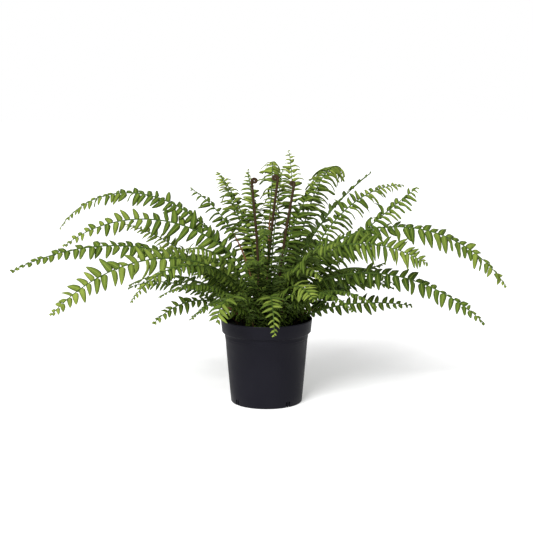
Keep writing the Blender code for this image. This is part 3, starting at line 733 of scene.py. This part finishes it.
def pot_profile(look):
    """Half section of the pot, from the middle of its underside round to the middle of its inner floor."""
    base, shoulder, wall = look.base_radius, look.shoulder_radius, look.wall
    band, rim, top = look.rim_foot_radius, look.rim_radius, look.height
    step = top - look.rim_depth
    line = step - LINE_BELOW_RIM

    def body(z):
        return base + (shoulder - base) / step * z

    underside = (
        (0, 0.0016), (0.042, 0.0016), (0.0432, 0.0004), (0.0444, 0), (0.0462, 0), (0.0474, 0.0004),
        (0.0486, 0.0010), (base - 0.0034, 0.0010), (base - 0.0026, 0.0002), (base - 0.0018, 0),
        (base - 0.0008, 0.0003), (base, 0.0014),
    )
    # The flank ends in the faint double line under the rim band
    flank = (
        (body(0.02), 0.02), (body(0.06), 0.06), (body(line) - 0.00035, line - 0.0002),
        (body(line) - 0.0001, line + 0.0001), (body(line) - 0.0001, line + 0.0013),
        (body(line + 0.0016), line + 0.0016), (body(line + 0.0030), line + 0.0030),
        (body(line + 0.0033) + 0.0003, line + 0.0034), (body(line + 0.0046), line + 0.0046),
    )
    rim_band = (
        (shoulder - 0.0002, step - 0.0028), (shoulder + 0.0002, step - 0.0016),
        (shoulder + 0.0012, step - 0.0006), (band - 0.0008, step + 0.0004), (band, step + 0.0014),
        (band + 0.0011, top - 0.0105),
    )
    lip = (
        (rim - 0.0003, top - 0.0030), (rim, top - 0.0017), (rim - 0.0001, top - 0.0007),
        (rim - 0.0006, top - 0.0001), (rim - 0.0011, top), (rim - 0.0016, top - 0.0002),
        (rim - wall, top - 0.0010),
    )
    inside = (
        (band - wall, step + 0.0014), (body(step) - wall, step - 0.0014),
        (body(wall) - wall - 0.0006, wall + 0.0012), (body(wall) - wall - 0.0016, wall + 0.0006),
        (0, wall + 0.0006),
    )
    return underside + flank + rim_band + lip + inside


def slot_cutter(look):
    """Four slots at the lower corner, each in two arched windows with a narrow post between them."""
    half = (look.slot_width - SLOT_POST) / 4
    middle = look.slot_height - half
    angles = [pi * step / ARCH_STEPS for step in range(ARCH_STEPS + 1)]
    outline = [(half * cos(angle), middle + half * sin(angle)) for angle in angles]
    outline += [(-half, -SLOT_BELOW), (half, -SLOT_BELOW)]
    count = len(outline)
    bm = bmesh.new()
    for turn in map(radians, SLOT_AZIMUTHS):
        for side in (-1, 1):
            shift = side * (2 * half + SLOT_POST) / 2
            rings = [[bm.verts.new((look.base_radius + reach, shift + y, z)) for y, z in outline]
                     for reach in (-SLOT_REACH, SLOT_REACH)]
            for i in range(count):
                j = (i + 1) % count
                bm.faces.new((rings[0][i], rings[0][j], rings[1][j], rings[1][i]))
            bm.faces.new(rings[0])
            bm.faces.new(rings[1])
            for vert in rings[0] + rings[1]:
                x, y, z = vert.co
                vert.co = (cos(turn) * x - sin(turn) * y, sin(turn) * x + cos(turn) * y, z)
    bmesh.ops.recalc_face_normals(bm, faces=bm.faces)
    return add_object("slot_cutter", mesh_from(bm, "slot_cutter"))


class FERN_OT_pot(bpy.types.Operator):
    """Build the nursery pot with its rim band, double line and drainage slots"""

    bl_idname = "fern.pot"
    bl_label = "Pot"

    def execute(self, context):
        look = context.scene.fern_pot
        bm = bmesh.new()
        spin_section(bm, pot_profile(look), POT_STEPS)
        bmesh.ops.remove_doubles(bm, verts=bm.verts, dist=1e-6)
        bmesh.ops.recalc_face_normals(bm, faces=bm.faces)
        pot = add_object("nursery_pot", mesh_from(bm, "nursery_pot"))
        cutter = slot_cutter(look)
        cut = pot.modifiers.new("drainage slots", "BOOLEAN")
        cut.operation = "DIFFERENCE"
        cut.object = cutter
        pot.data = evaluated_mesh(pot)
        pot.modifiers.clear()
        drop(cutter)
        pot.data.materials.clear()
        pot.data.materials.append(plastic_material(look))
        pot.data.shade_smooth()
        pot.data.set_sharp_from_angle(angle=radians(38))
        dress(pot, "pot", "pot")
        return {"FINISHED"}


# The soil


def crumb_tree():
    """Crumbs scattered over the part of a surface that faces up, a few of them perlite."""
    net, take = open_tree("Soil Crumbs", geometry="Geometry", crumbs="Collection", density=60000.0,
                          largest_radius=0.0026, perlite_share=0.012, soil="Material", perlite="Material",
                          seed=3)
    points = net.add("GeometryNodeDistributePointsOnFaces", take.geometry, named={
        "Selection": net.attribute("top") > 0.5, "Density": take.density, "Seed": take.seed})
    spread = net.random(0.0, 1.0, take.seed + 1) ** 3.0
    size = take.largest_radius * (spread * 0.75 + 0.25)
    pale = take.perlite_share > net.random(0.0, 1.0, take.seed + 2)
    pool = net.add("GeometryNodeCollectionInfo", take.crumbs, True, True)
    turn = net.random((-3.2, -3.2, -3.2), (3.2, 3.2, 3.2), take.seed + 4, "FLOAT_VECTOR")
    pick = net.random(0, CRUMB_SHAPES - 1, take.seed + 5, "INT")
    crumbs = net.add("GeometryNodeInstanceOnPoints", net.store(points, "pale", pale), None, pool, True, pick,
                     net.add("FunctionNodeEulerToRotation", turn), net.xyz(size, size, size))
    whole = net.painted(net.realized(crumbs, take.geometry), take.soil)
    return net.close(geometry=net.painted(whole, take.perlite, net.attribute("pale") > 0.5))


def crumb(name, rng):
    """A lump of radius 1 with a few dozen faces."""
    bm = bmesh.new()
    bmesh.ops.create_icosphere(bm, subdivisions=1, radius=1)
    for vert in bm.verts:
        vert.co *= rng.uniform(0.62, 1.0)
        vert.co.z *= 0.75
    return bpy.data.objects.new(name, mesh_from(bm, name))


def soil_bed(pot):
    """The soil as a solid that fills the pot, with an uneven top."""
    edge = pot.rim_foot_radius - pot.wall - SOIL_FIT
    step = pot.height - pot.rim_depth
    rings = [(edge * share, None) for share in SOIL_RINGS]
    rings += [(edge, SOIL_Z - 0.0012), (edge, step + 0.0014),
              (pot.shoulder_radius - pot.wall - SOIL_FIT, step - 0.0016),
              (pot.base_radius - pot.wall - 0.0026, pot.wall + 0.0030)]
    rng = Random(4)
    verts = [(0, 0, SOIL_Z)]
    for radius, height in rings:
        for k in range(SOIL_SEGMENTS):
            angle = 2 * pi * k / SOIL_SEGMENTS
            wave = SOIL_WAVE * sin(7 * angle + 60 * radius) * sin(90 * radius)
            level = height or SOIL_Z + rng.uniform(-SOIL_GRAIN, SOIL_GRAIN) + wave
            verts.append((radius * cos(angle), radius * sin(angle), level))
    faces = [(0, 1 + k, 1 + (k + 1) % SOIL_SEGMENTS) for k in range(SOIL_SEGMENTS)]
    for start in range(1, len(verts) - SOIL_SEGMENTS, SOIL_SEGMENTS):
        for k in range(SOIL_SEGMENTS):
            a = start + k
            b = start + (k + 1) % SOIL_SEGMENTS
            faces.append((a, a + SOIL_SEGMENTS, b + SOIL_SEGMENTS, b))
    faces.append(tuple(reversed(range(len(verts) - SOIL_SEGMENTS, len(verts)))))
    mesh = plain_mesh("soil_bed", verts, faces=faces)
    top = 1 + len(SOIL_RINGS) * SOIL_SEGMENTS
    give(mesh, "top", [1.0] * top + [0.0] * (len(verts) - top))
    mesh.shade_smooth()
    return mesh


class FERN_OT_soil(bpy.types.Operator):
    """Build the soil with its crumbs and a few perlite grains"""

    bl_idname = "fern.soil"
    bl_label = "Soil"

    def execute(self, context):
        look = context.scene.fern_soil
        shapes = [crumb(f"crumb_{number}", Random(number)) for number in range(CRUMB_SHAPES)]
        pool = collected("crumbs", shapes)
        piece = grow("soil_bed", soil_bed(context.scene.fern_pot), crumb_tree(), crumbs=pool,
                     density=look.crumb_density, largest_radius=look.crumb_size, soil=soil_material(look),
                     perlite=perlite_material(look))
        drop(pool)
        dress(piece, "soil", "soil")
        return {"FINISHED"}


# The fronds


def crown_points():
    """Where each stalk leaves the soil: out along its azimuth, the flatter the further, then nudged apart."""
    points = []
    for frond in FRONDS:
        radius = min(CROWN_RADIUS + CROWN_SPREAD * (90 - frond.rise), CROWN_MOST)
        points.append([radius * cos(radians(frond.azimuth)), radius * sin(radians(frond.azimuth))])
    points += [list(fiddle.foot) for fiddle in FIDDLEHEADS]
    moved = True
    while moved:
        moved = False
        for i, p in enumerate(points):
            for q in points[:i]:
                apart = hypot(p[0] - q[0], p[1] - q[1])
                if apart < STALK_SPACING - 1e-5:
                    push = (STALK_SPACING - apart) / 2 / apart
                    dx, dy = push * (p[0] - q[0]), push * (p[1] - q[1])
                    p[:] = p[0] + dx, p[1] + dy
                    q[:] = q[0] - dx, q[1] - dy
                    moved = True
        for p in points:
            shrink = min(1, CROWN_EDGE / hypot(*p))
            p[:] = p[0] * shrink, p[1] * shrink
    return points


def rib_points(frond, foot):
    """Points along a frond from the soil's surface to its tip."""
    point = Vector((*foot, SOIL_Z))
    points = [point.copy()]
    for step in range(RIB_STEPS):
        share = (step + 0.5) / RIB_STEPS
        lift = radians(frond.rise + (frond.fall - frond.rise) * share ** frond.bend)
        turn = radians(frond.azimuth + frond.sweep * share * share)
        point += frond.length / RIB_STEPS * Vector((cos(lift) * cos(turn), cos(lift) * sin(turn), sin(lift)))
        points.append(point.copy())
    return points


def rib_line(frond, foot):
    """The rib as a chain of edges, whose points carry the blade's sideways and upward directions."""
    points = rib_points(frond, foot)
    across = radians(frond.azimuth)
    level_side = Vector((sin(across), -cos(across), 0))
    lean = radians(frond.lean) * (1 if cos(across) > 0 else -1)
    sides, ups = [], []
    last = len(points) - 1
    for i in range(last + 1):
        along = (points[min(i + 1, last)] - points[max(i - 1, 0)]).normalized()
        side = along.cross(Vector((0, 0, 1)))
        side = side.normalized() if side.length > 0.02 else level_side.copy()
        if side.dot(level_side) < 0:
            side.negate()
        up = side.cross(along)
        turned_by = lean * min(1, i / last / frond.brown)
        sides.append(side * cos(turned_by) - up * sin(turned_by))
        ups.append(up * cos(turned_by) + side * sin(turned_by))
    points[0].z -= BURIED
    mesh = chain("rib", points)
    give(mesh, "side", sides, "FLOAT_VECTOR")
    give(mesh, "up", ups, "FLOAT_VECTOR")
    return mesh


def leaflet(name, hand, form):
    """A closed thin leaflet of length and width 1, growing along +X, with its upper face towards +Z.

    Its points carry where they lie: along the leaflet, across it, and on its upper (1) or lower (0) face."""
    arch, cup, wave = form
    last = len(LEAFLET_OUTLINE) - 1
    verts, place, faces = [], [], []

    def point(row, column, face):
        share, ahead, behind = LEAFLET_OUTLINE[row]
        across = LEAFLET_COLUMNS[column]
        y = across * (ahead if across > 0 else behind) + LEAFLET_SWEEP * share * share
        z = arch * (share - 1.9 * share * share) - cup * across * across * (ahead + behind) / 2
        z += wave * across * sin(9 * share)
        edge = abs(across) == 1 or row in (0, last)
        z += 0 if edge else (face - 0.5) * LEAFLET_THICKNESS
        verts.append((share, hand * y, z))
        place.append((share, across, 0.5 if edge else face))
        return len(verts) - 1

    columns = range(len(LEAFLET_COLUMNS))
    upper = [[point(row, column, 1) for column in columns] for row in range(last)]
    lower = [[upper[row][column] if row == 0 or column in (0, columns[-1]) else point(row, column, 0)
              for column in columns] for row in range(last)]
    tip = point(last, len(LEAFLET_COLUMNS) // 2, 1)
    for sheet in (upper, lower):
        step = 1 if (hand > 0) == (sheet is upper) else -1
        for row, after in zip(sheet, sheet[1:] + [None]):
            for i in columns[:-1]:
                further = (after[i], after[i + 1]) if after else (tip,)
                faces.append((row[i], *further, row[i + 1])[::step])
    mesh = plain_mesh(name, verts, faces=faces)
    give(mesh, "leaf", place, "FLOAT_VECTOR")
    mesh.shade_smooth()
    return bpy.data.objects.new(name, mesh)


def rod_tree():
    """A plain round rod along a chain of edges, for the shapes that leaflets are kept clear of."""
    net, take = open_tree("Rod", geometry="Geometry", radius=0.0018)
    rod = net.tube(net.add("GeometryNodeMeshToCurve", take.geometry), take.radius, sides=6)
    return net.close(geometry=net.realized(rod))


def frond_tree():
    """A pinnate frond: a tapering rib, and leaflets by turns on either side that shrink to its tip.

    A leaflet that would run into one of the obstacles folds up or down, or stays small."""
    net, take = open_tree(
        "Pinnate Frond", geometry="Geometry", leaflets="Collection", obstacles="Object",
        leaflet_pitch=0.012, crowding=1.25, bare_share=0.17, longest_leaflet=0.027, foot_length=0.5,
        fullness=2.6, width_share=0.95, droop=0.2, stray=0.6, skyward=2.2, arch=1.0, stalk_radius=0.0015,
        tip_radius=0.0004, tone=0.4, leaflet_finish="Material", rib_finish="Material", seed=1)
    seeds = iter(range(1, 20))

    def chance(low, high):
        return net.random(low, high, take.seed * 31 + next(seeds))

    curve = net.add("GeometryNodeMeshToCurve", take.geometry)
    blade = net.add("GeometryNodeCurveLength", curve) * (1.0 - take.bare_share)
    pairs = net.math("ROUND", blade / take.leaflet_pitch)
    points = net.add("GeometryNodePoints", pairs * 2.0)
    index = net.add("GeometryNodeInputIndex")
    right = net.math("MODULO", index, 2.0)
    # The right leaflet of a pair stands a little further along than the left one
    step = net.math("FLOOR", index / 2.0) + (right * 0.4 + chance(*PLACE_VARIES))
    even = net.math("DIVIDE", step, pairs, clamp=True) ** FOOT_CROWDING
    share = 1.0 - (1.0 - even) ** take.crowding
    factor = take.bare_share + share * (1.0 - take.bare_share)

    def sampled(name):
        return net.add("GeometryNodeSampleCurve", curve, net.attribute(name, "FLOAT_VECTOR"), factor,
                       mode="FACTOR", data_type="FLOAT_VECTOR")

    side = sampled("side")
    up = sampled("up")
    root = side["Position"]
    tangent = side["Tangent"]
    out = side * (right * 2.0 - 1.0)

    taper = (1.0 - share ** take.fullness) ** TAPER_END
    full = net.ramp(share, 0.0, FOOT_END, take.foot_length, 1.0)
    length = take.longest_leaflet * chance(*LENGTH_VARIES) * (taper * full)
    length = net.math("MAXIMUM", LEAST_LENGTH, length)

    # A power of a chance keeps most leaflets in line and lets a few stray or twist far
    stray = take.stray * chance(-1.0, 1.0) ** 3.0
    droop = take.droop + chance(-DROOP_VARIES, DROOP_VARIES) + stray
    forward = net.ramp(share, 0.0, 1.0, *FORWARD, smooth=False) + chance(-FORWARD_VARIES, FORWARD_VARIES)

    def growing(fold):
        """The direction that a leaflet grows in with this much added to its droop, and its upward normal."""
        down = droop + fold
        sine = net.math("SINE", down)
        cosine = net.math("COSINE", down)
        across = out * cosine - up * sine
        reach = across * net.math("COSINE", forward) + tangent * net.math("SINE", forward)
        return reach, up * cosine + out * sine

    # The first try whose ray is clear stands, or else the last one
    target = net.add("GeometryNodeObjectInfo", take.obstacles)["Geometry"]
    tries = [(radians(degrees), scale) for degrees, scale in LEAFLET_TRIES]
    fold, size = tries.pop()
    for turned, scale in reversed(tries):
        reach, _ = growing(turned)
        hit = net.add("GeometryNodeRaycast", target, named={
            "Source Position": root + reach * CLEAR_OF_RIB, "Ray Direction": reach,
            "Ray Length": length * (RAY_REACH * scale)})["Is Hit"]
        fold = net.add("GeometryNodeSwitch", hit, turned, fold, input_type="FLOAT")
        size = net.add("GeometryNodeSwitch", hit, scale, size, input_type="FLOAT")
    reach, normal = growing(fold)
    steep = abs(net.add("ShaderNodeSeparateXYZ", tangent)["Z"])
    normal = normal + net.xyz(0.0, 0.0, take.skyward * steep)
    length = length * size
    slender = (length / take.longest_leaflet) ** WIDTH_FOLLOWS
    width = take.leaflet_pitch * take.width_share * (slender * chance(*WIDTH_VARIES))

    turned = net.add("FunctionNodeAxesToRotation", reach, normal, primary_axis="X", secondary_axis="Z")
    twist = chance(-TWIST_VARIES, TWIST_VARIES) + chance(-1.0, 1.0) ** 5.0 * RARE_TWIST
    turned = net.rotated(turned, net.xyz(twist, 0.0, 0.0))
    # The tone rises towards the tip: paler young growth, and painted light shining through the thin tips.
    tone = net.math("ADD", take.tone + chance(-TONE_VARIES, TONE_VARIES),
                    net.ramp(share, 0.45, 1.0, *TIP_TONE), clamp=True)
    points = net.store(net.add("GeometryNodeSetPosition", points, None, root), "tone", tone)
    pool = net.add("GeometryNodeCollectionInfo", take.leaflets, True, True)
    form = net.random(0, len(LEAFLET_FORMS) - 1, take.seed + 77, "INT")
    pick = right * float(len(LEAFLET_FORMS)) + form
    leaflets = net.add("GeometryNodeInstanceOnPoints", points, None, pool, True, pick, turned,
                       net.xyz(length, width, length * take.arch))

    along = net.add("GeometryNodeSplineParameter")
    line = net.store(net.store(curve, "along", along), "brown", take.bare_share)
    radius = take.tip_radius + (take.stalk_radius - take.tip_radius) * (1.0 - along) ** RIB_TAPER
    rib = net.store(net.tube(line, radius), "rib", 1.0)
    whole = net.painted(net.realized(rib, leaflets), take.leaflet_finish)
    return net.close(geometry=net.painted(whole, take.rib_finish, net.attribute("rib") > 0.5))


def obstacles(feet, pot):
    """One helper object with the ribs, the fiddlehead stalks, the soil's top and the pot's sides."""
    bm = bmesh.new()
    rod = rod_tree()
    rods = [(rib_line(frond, foot), RIB_CLEARANCE) for frond, foot in zip(FRONDS, feet)]
    rods += [(crozier_line(fiddle, foot), STALK_CLEARANCE)
             for fiddle, foot in zip(FIDDLEHEADS, feet[len(FRONDS):])]
    for number, (line, radius) in enumerate(rods):
        made = grow(f"rod_{number}", line, rod, radius=radius)
        bm.from_mesh(made.data)
        drop(made)
    rim, top, clear = pot.rim_radius, pot.height, POT_CLEARANCE
    spin_section(bm, (
        (0.002, SOIL_Z + clear), (pot.rim_foot_radius - pot.wall - clear, SOIL_Z + clear),
        (rim - pot.wall - clear, top), (rim - pot.wall / 2, top + clear), (rim + clear, top),
        (rim + clear, top - pot.rim_depth), (pot.base_radius + clear, 0),
    ), steps=60)
    return add_object("obstacles", mesh_from(bm, "obstacles"))


class FERN_OT_fronds(bpy.types.Operator):
    """Grow all the fronds, each a rib with its leaflets"""

    bl_idname = "fern.fronds"
    bl_label = "Fronds"

    def execute(self, context):
        look = context.scene.fern_frond
        feet = crown_points()
        pool = collected("leaflets", [leaflet(f"leaflet_{side}_{number}", hand, form)
                                      for side, hand in (("a_left", -1), ("b_right", 1))
                                      for number, form in enumerate(LEAFLET_FORMS)])
        blocked = obstacles(feet, context.scene.fern_pot)
        tree = frond_tree()
        same = {"leaflets": pool, "obstacles": blocked, "crowding": look.crowding, "stray": look.stray,
                "stalk_radius": look.stalk_radius, "tip_radius": look.tip_radius,
                "leaflet_finish": leaflet_material(look), "rib_finish": stalk_material(look)}
        for number, (frond, foot) in enumerate(zip(FRONDS, feet), 1):
            habit = HABITS[frond.habit]
            piece = grow(
                f"fern_frond_{number:02}", rib_line(frond, foot), tree, seed=number, tone=frond.tone,
                leaflet_pitch=frond.pitch * look.spacing, longest_leaflet=frond.leaflet, fullness=frond.full,
                bare_share=frond.brown, foot_length=habit.foot, width_share=look.width_share * habit.width,
                droop=look.droop + radians(habit.droop), skyward=look.skyward * habit.skyward,
                arch=habit.arch, **same)
            dress(piece, "frond", f"frond_{number:02}")
        drop(blocked, pool)
        return {"FINISHED"}


# The fiddleheads


def crozier_line(fiddle, foot):
    """A fiddlehead's middle from under the soil to the middle of its coil, whose points carry how far into
    the coil they are."""
    start = Vector((*foot, SOIL_Z - BURIED))
    top = Vector(fiddle.top)
    points = []
    for step in range(STALK_STEPS):
        share = step / STALK_STEPS
        bow = Vector((fiddle.side * FIDDLE_BOW * sin(pi * share), 0, 0))
        points.append(start.lerp(top, share) + bow)
    centre = top + Vector((fiddle.side * fiddle.coil, 0, 0))
    for step in range(COIL_STEPS + 1):
        share = step / COIL_STEPS
        angle = pi - 2 * pi * COIL_TURNS * share
        radius = fiddle.coil + (COIL_INNER - fiddle.coil) * share
        points.append(centre + Vector((fiddle.side * radius * cos(angle), 0, radius * sin(angle))))
    mesh = chain("stalk", points)
    give(mesh, "coil", [0.0] * STALK_STEPS + [step / COIL_STEPS for step in range(COIL_STEPS + 1)])
    return mesh


def crozier_tree():
    """A fiddlehead: a round stalk that ends in a coil, clad in papery scales that lie along it."""
    net, take = open_tree("Fiddlehead", geometry="Geometry", scale_shape="Object", stalk_radius=0.0015,
                          coil_radius=0.0014, scale_length=0.0016, density=260000.0, finish="Material",
                          seed=1)
    coil = net.attribute("coil")
    thick = net.ramp(coil, 0.0, 0.10, take.stalk_radius, take.coil_radius)
    thick = thick * net.ramp(coil, 0.30, 1.0, 1.0, 0.85, smooth=False)
    body = net.tube(net.add("GeometryNodeMeshToCurve", take.geometry), thick, sides=10)
    body = net.add("GeometryNodeSetShadeSmooth", body, None, True)
    points = net.add("GeometryNodeDistributePointsOnFaces", body, named={
        "Density": take.density * net.ramp(coil, 0.0, 0.05, 0.35, 1.0), "Seed": take.seed})
    leaning = net.random((-0.5, -0.5, -3.2), (0.5, 0.9, 3.2), take.seed + 9, "FLOAT_VECTOR")
    size = take.scale_length * net.random(0.5, 1.15, take.seed + 10)
    flake = net.add("GeometryNodeObjectInfo", take.scale_shape)["Geometry"]
    flakes = net.add("GeometryNodeInstanceOnPoints", points, None, flake, False, None,
                     net.rotated(points["Rotation"], leaning), net.xyz(size, size, size))
    return net.close(geometry=net.painted(net.realized(body, flakes), take.finish))


def scale_shape():
    """A papery scale of length 1, closed, lying nearly flat along +X."""
    verts = [(0, -0.10, 0), (0, 0.10, 0), (0.45, -0.17, 0.10), (0.45, 0.17, 0.10), (1, 0, 0.16),
             (0.45, 0, 0.03)]
    faces = [(0, 2, 3, 1), (2, 4, 3), (0, 1, 5), (0, 5, 2), (1, 3, 5), (2, 5, 4), (3, 4, 5)]
    mesh = plain_mesh("papery_scale", verts, faces=faces)
    give(mesh, "flake", [1.0] * len(verts))
    bm = bmesh.new()
    bm.from_mesh(mesh)
    bmesh.ops.recalc_face_normals(bm, faces=bm.faces)
    bm.to_mesh(mesh)
    bm.free()
    return bpy.data.objects.new("papery_scale", mesh)


class FERN_OT_fiddleheads(bpy.types.Operator):
    """Build the three fiddleheads with their coils and papery scales"""

    bl_idname = "fern.fiddleheads"
    bl_label = "Fiddleheads"

    def execute(self, context):
        look = context.scene.fern_fiddlehead
        tree = crozier_tree()
        finish = crozier_material(look)
        flake = scale_shape()
        feet = crown_points()[len(FRONDS):]
        for number, (fiddle, foot) in enumerate(zip(FIDDLEHEADS, feet), 1):
            piece = grow(f"fern_fiddlehead_{number}", crozier_line(fiddle, foot), tree, scale_shape=flake,
                         stalk_radius=look.radius, coil_radius=look.coil_radius, finish=finish,
                         scale_length=look.scale_length, seed=number)
            dress(piece, "fiddlehead", f"fiddlehead_{number}")
        drop(flake)
        return {"FINISHED"}


# The stage


class FERN_OT_stage(bpy.types.Operator):
    """Lay the pale floor, and set the soft studio light and the camera"""

    bl_idname = "fern.stage"
    bl_label = "Stage"

    def execute(self, context):
        look = context.scene.fern_stage
        scene = context.scene
        half = look.floor_size / 2
        floor = add_object("studio_floor", plain_mesh(
            "studio_floor", [(-half, -half, 0), (half, -half, 0), (half, half, 0), (-half, half, 0)],
            faces=[(0, 1, 2, 3)]))
        floor.data.materials.append(floor_material(look))

        scene.world = world = bpy.data.worlds.new("studio")
        world.use_nodes = True
        net = Net(world.node_tree)
        seen = net.add("ShaderNodeLightPath")
        sky = world.node_tree.nodes["Background"].inputs
        sky["Color"].default_value = (1, 1, 1, 1)
        net.feed(sky["Strength"], net.ramp(seen, 0.0, 1.0, look.sky_strength, 1.0, smooth=False))
        scene.view_settings.view_transform = "Standard"

        sun = bpy.data.lights.new("key_light", "SUN")
        sun.energy = look.key_strength
        sun.angle = look.key_softness
        key = add_object("key_light", sun)
        key.location = KEY_PLACE
        key.rotation_euler = key.location.to_track_quat("Z", "Y").to_euler()

        lens = bpy.data.cameras.new("camera")
        lens.lens = FOCAL_PIXELS / PHOTO_PIXELS * SENSOR_WIDTH
        lens.sensor_width = SENSOR_WIDTH
        camera = add_object("camera", lens)
        camera.location = CAMERA_PLACE
        camera.rotation_euler = (radians(90 - CAMERA_DIP), 0, 0)
        scene.camera = camera
        return {"FINISHED"}


# The panel, and running it all


GROUPS = (
    ("fern_pot", FernPotSettings, FERN_OT_pot),
    ("fern_soil", FernSoilSettings, FERN_OT_soil),
    ("fern_frond", FernFrondSettings, FERN_OT_fronds),
    ("fern_fiddlehead", FernFiddleheadSettings, FERN_OT_fiddleheads),
    ("fern_stage", FernStageSettings, FERN_OT_stage),
)


class FERN_PT_panel(bpy.types.Panel):
    """Sizes and colours of the potted fern, with a button for each group of pieces"""

    bl_idname = "FERN_PT_panel"
    bl_label = "Potted Fern"
    bl_space_type = "VIEW_3D"
    bl_region_type = "UI"
    bl_category = "Fern"

    def draw(self, context):
        for label, settings, operator in GROUPS:
            box = self.layout.box()
            for field in settings.__annotations__:
                box.prop(getattr(context.scene, label), field)
            box.operator(operator.bl_idname)


def register():
    for label, settings, operator in GROUPS:
        bpy.utils.register_class(settings)
        bpy.utils.register_class(operator)
        setattr(bpy.types.Scene, label, bpy.props.PointerProperty(type=settings))
    bpy.utils.register_class(FERN_PT_panel)


def unregister():
    bpy.utils.unregister_class(FERN_PT_panel)
    for label, settings, operator in GROUPS:
        delattr(bpy.types.Scene, label)
        bpy.utils.unregister_class(operator)
        bpy.utils.unregister_class(settings)


def main():
    register()
    bpy.ops.fern.stage()
    bpy.ops.fern.pot()
    bpy.ops.fern.soil()
    bpy.ops.fern.fronds()
    bpy.ops.fern.fiddleheads()


if __name__ == "__main__":
    main()
